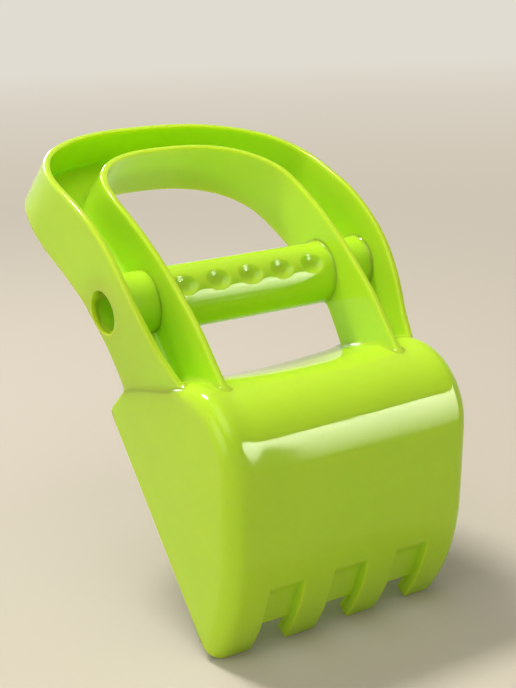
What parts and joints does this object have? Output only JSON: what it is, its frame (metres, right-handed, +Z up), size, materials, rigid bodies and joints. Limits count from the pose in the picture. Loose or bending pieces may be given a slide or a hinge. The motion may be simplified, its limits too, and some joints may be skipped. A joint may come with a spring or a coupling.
{
  "type": "sand shovel",
  "caption": "Hand-held toothed digging scoop for sand, with a looped channel handle crossed by a dimpled grip tube.",
  "frame": {"origin": "centre of the bounding box at its lowest point, the ground under the tips of the teeth in the digging pose", "axes": "+Z up, +X across the shovel's width along the grip tube, +Y towards the open mouth of the scoop, with the handle leaning back over it"},
  "size_m": [0.117, 0.1692, 0.1728],
  "materials": {
    "lime_plastic": "gloss moulded polypropylene, slightly translucent"
  },
  "bodies": {
    "root": {"scoop": "lime_plastic", "tooth_edge": "lime_plastic", "outer_band": "lime_plastic", "inner_band": "lime_plastic", "channel_web": "lime_plastic", "grip_tube": "lime_plastic"}
  },
  "joints": []
}
